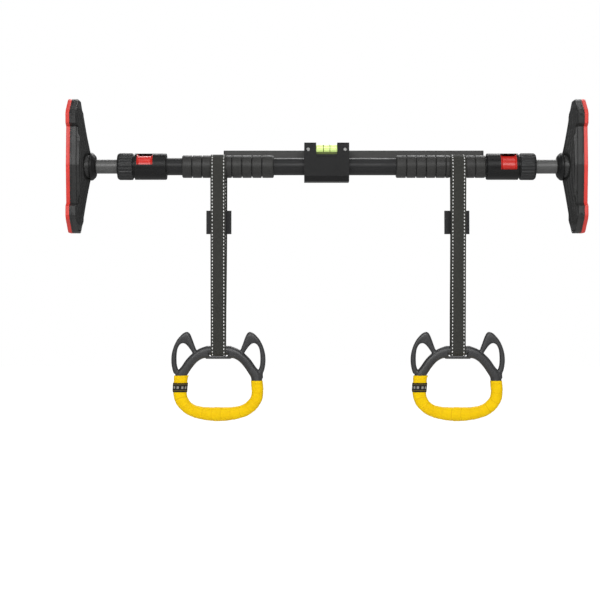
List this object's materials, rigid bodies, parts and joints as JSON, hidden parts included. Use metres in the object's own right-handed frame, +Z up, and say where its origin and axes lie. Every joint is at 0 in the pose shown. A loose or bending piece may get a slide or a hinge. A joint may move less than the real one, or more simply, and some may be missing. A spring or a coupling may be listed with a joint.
{
  "type": "doorway pull-up bar",
  "caption": "Telescopic bar braced in a doorway, with a spirit level, foam grips and webbing slings that carry eared hand rings.",
  "frame": {"origin": "middle of the bar, on the main tube's axis", "axes": "+X along the bar towards the right wall, +Z up, the level faces -Y"},
  "size_m": [0.956, 0.11, 0.5973],
  "materials": {
    "tube_steel": "satin black powder coat",
    "rod_steel": "satin black oxide, fine thread",
    "rail_steel": "matt dark grey coat",
    "foam": "closed-cell foam, fine skin",
    "housing_plastic": "moulded, fine spark texture",
    "nut_plastic": "moulded, ribbed",
    "plate_plastic": "moulded, semi-gloss ribs",
    "black_plastic": "plain black",
    "pale_plastic": "translucent pale",
    "vial_green": "fluorescent yellow-green",
    "zinc_steel": "zinc plated",
    "brass": "brass",
    "red_plastic": "glossy red",
    "red_rubber": "soft red anti-slip rubber",
    "webbing": "twill webbing, pale edge stitching",
    "buckle_metal": "gloss black",
    "ring_plastic": "moulded, grained",
    "yellow_wrap": "wound tacky grip tape",
    "band_fabric": "plain black woven band"
  },
  "bodies": {
    "bar": {"main_tube": "tube_steel", "left_foam_grip": "foam", "right_foam_grip": "foam", "housing_front": "housing_plastic", "housing_rear": "housing_plastic", "housing_screws": "zinc_steel", "level_vial": "vial_green", "level_rings": "black_plastic", "level_cradle": "pale_plastic", "back_rail": "rail_steel", "rail_end_caps": "black_plastic", "rail_saddles": "black_plastic", "snap_rings": "zinc_steel"},
    "left_collar": {"left_collar": "housing_plastic", "left_drive_nut": "brass", "left_button_spring": "zinc_steel"},
    "left_button": {"left_button": "red_plastic", "left_latch_ring": "zinc_steel"},
    "left_collet": {"left_collet": "zinc_steel"},
    "left_lock_nut": {"left_lock_nut": "nut_plastic"},
    "left_leg": {"left_rod": "rod_steel", "left_guide_bush": "pale_plastic", "left_hub": "housing_plastic", "left_plate": "plate_plastic", "left_plate_bolt": "zinc_steel", "left_pad": "red_rubber"},
    "left_sling": {"left_strap": "webbing", "left_buckle": "buckle_metal", "left_buckle_pin": "zinc_steel", "left_cam_spring": "zinc_steel"},
    "left_cam_lever": {"left_cam_lever": "buckle_metal"},
    "left_ring": {"left_ring": "ring_plastic", "left_ring_bar": "ring_plastic", "left_ring_wrap": "yellow_wrap", "left_ring_band": "band_fabric"},
    "right_collar": {"right_collar": "housing_plastic", "right_drive_nut": "brass", "right_button_spring": "zinc_steel"},
    "right_button": {"right_button": "red_plastic", "right_latch_ring": "zinc_steel"},
    "right_collet": {"right_collet": "zinc_steel"},
    "right_lock_nut": {"right_lock_nut": "nut_plastic"},
    "right_leg": {"right_rod": "rod_steel", "right_guide_bush": "pale_plastic", "right_hub": "housing_plastic", "right_plate": "plate_plastic", "right_plate_bolt": "zinc_steel", "right_pad": "red_rubber"},
    "right_sling": {"right_strap": "webbing", "right_buckle": "buckle_metal", "right_buckle_pin": "zinc_steel", "right_cam_spring": "zinc_steel"},
    "right_cam_lever": {"right_cam_lever": "buckle_metal"},
    "right_ring": {"right_ring": "ring_plastic", "right_ring_bar": "ring_plastic", "right_ring_wrap": "yellow_wrap", "right_ring_band": "band_fabric"}
  },
  "joints": [
    {"name": "left_collar_turn", "type": "hinge", "parent": "bar", "child": "left_collar", "pos_m": [-0.33, 0, 0], "axis": [-1, 0, 0], "range_deg": [-1620, 2700]},
    {"name": "left_leg_travel", "type": "slide", "parent": "bar", "child": "left_leg", "axis": [-1, 0, 0], "range_m": [-0.0361, 0.0601]},
    {"name": "left_button_press", "type": "slide", "parent": "left_collar", "child": "left_button", "axis": [0, 0.6561, -0.7547], "range_m": [0, 0.0022], "stiffness_N_per_m": 900, "springref_m": -0.003, "deforming": ["left_button_spring"]},
    {"name": "left_collet_travel", "type": "slide", "parent": "left_collar", "child": "left_collet", "axis": [1, 0, 0], "range_m": [-0.00055, 0.00205]},
    {"name": "left_nut_turn", "type": "hinge", "parent": "left_collet", "child": "left_lock_nut", "pos_m": [-0.37, 0, 0], "axis": [-1, 0, 0], "range_deg": [-90, 360]},
    {"name": "left_sling_swing", "type": "hinge", "parent": "bar", "child": "left_sling", "pos_m": [-0.201, 0, 0], "axis": [1, 0, 0], "range_deg": [-60, 40]},
    {"name": "left_cam_press", "type": "hinge", "parent": "left_sling", "child": "left_cam_lever", "pos_m": [-0.201, 0.02676, -0.0973], "axis": [1, 0, 0], "range_deg": [0, 50], "stiffness_Nm_per_rad": 0.12, "springref_deg": -20.05},
    {"name": "left_ring_swing", "type": "hinge", "parent": "left_sling", "child": "left_ring", "pos_m": [-0.201, 0, -0.3418], "axis": [1, 0, 0], "range_deg": [-60, 60]},
    {"name": "right_collar_turn", "type": "hinge", "parent": "bar", "child": "right_collar", "pos_m": [0.33, 0, 0], "axis": [1, 0, 0], "range_deg": [-1620, 2700]},
    {"name": "right_leg_travel", "type": "slide", "parent": "bar", "child": "right_leg", "axis": [1, 0, 0], "range_m": [-0.0361, 0.0601]},
    {"name": "right_button_press", "type": "slide", "parent": "right_collar", "child": "right_button", "axis": [0, 0.8829, -0.4695], "range_m": [0, 0.0022], "stiffness_N_per_m": 900, "springref_m": -0.003, "deforming": ["right_button_spring"]},
    {"name": "right_collet_travel", "type": "slide", "parent": "right_collar", "child": "right_collet", "axis": [-1, 0, 0], "range_m": [-0.00055, 0.00205]},
    {"name": "right_nut_turn", "type": "hinge", "parent": "right_collet", "child": "right_lock_nut", "pos_m": [0.37, 0, 0], "axis": [1, 0, 0], "range_deg": [-90, 360]},
    {"name": "right_sling_swing", "type": "hinge", "parent": "bar", "child": "right_sling", "pos_m": [0.244, 0, 0], "axis": [1, 0, 0], "range_deg": [-60, 40]},
    {"name": "right_cam_press", "type": "hinge", "parent": "right_sling", "child": "right_cam_lever", "pos_m": [0.244, 0.02676, -0.0973], "axis": [1, 0, 0], "range_deg": [0, 50], "stiffness_Nm_per_rad": 0.12, "springref_deg": -20.05},
    {"name": "right_ring_swing", "type": "hinge", "parent": "right_sling", "child": "right_ring", "pos_m": [0.244, 0, -0.3418], "axis": [1, 0, 0], "range_deg": [-60, 60]}
  ],
  "couplings": [
    {"joint": "left_leg_travel", "follows": "left_collar_turn", "m_per_rad": 0.0012732},
    {"joint": "left_collet_travel", "follows": "left_nut_turn", "m_per_rad": 0.00031831},
    {"joint": "right_leg_travel", "follows": "right_collar_turn", "m_per_rad": 0.0012732},
    {"joint": "right_collet_travel", "follows": "right_nut_turn", "m_per_rad": 0.00031831}
  ]
}
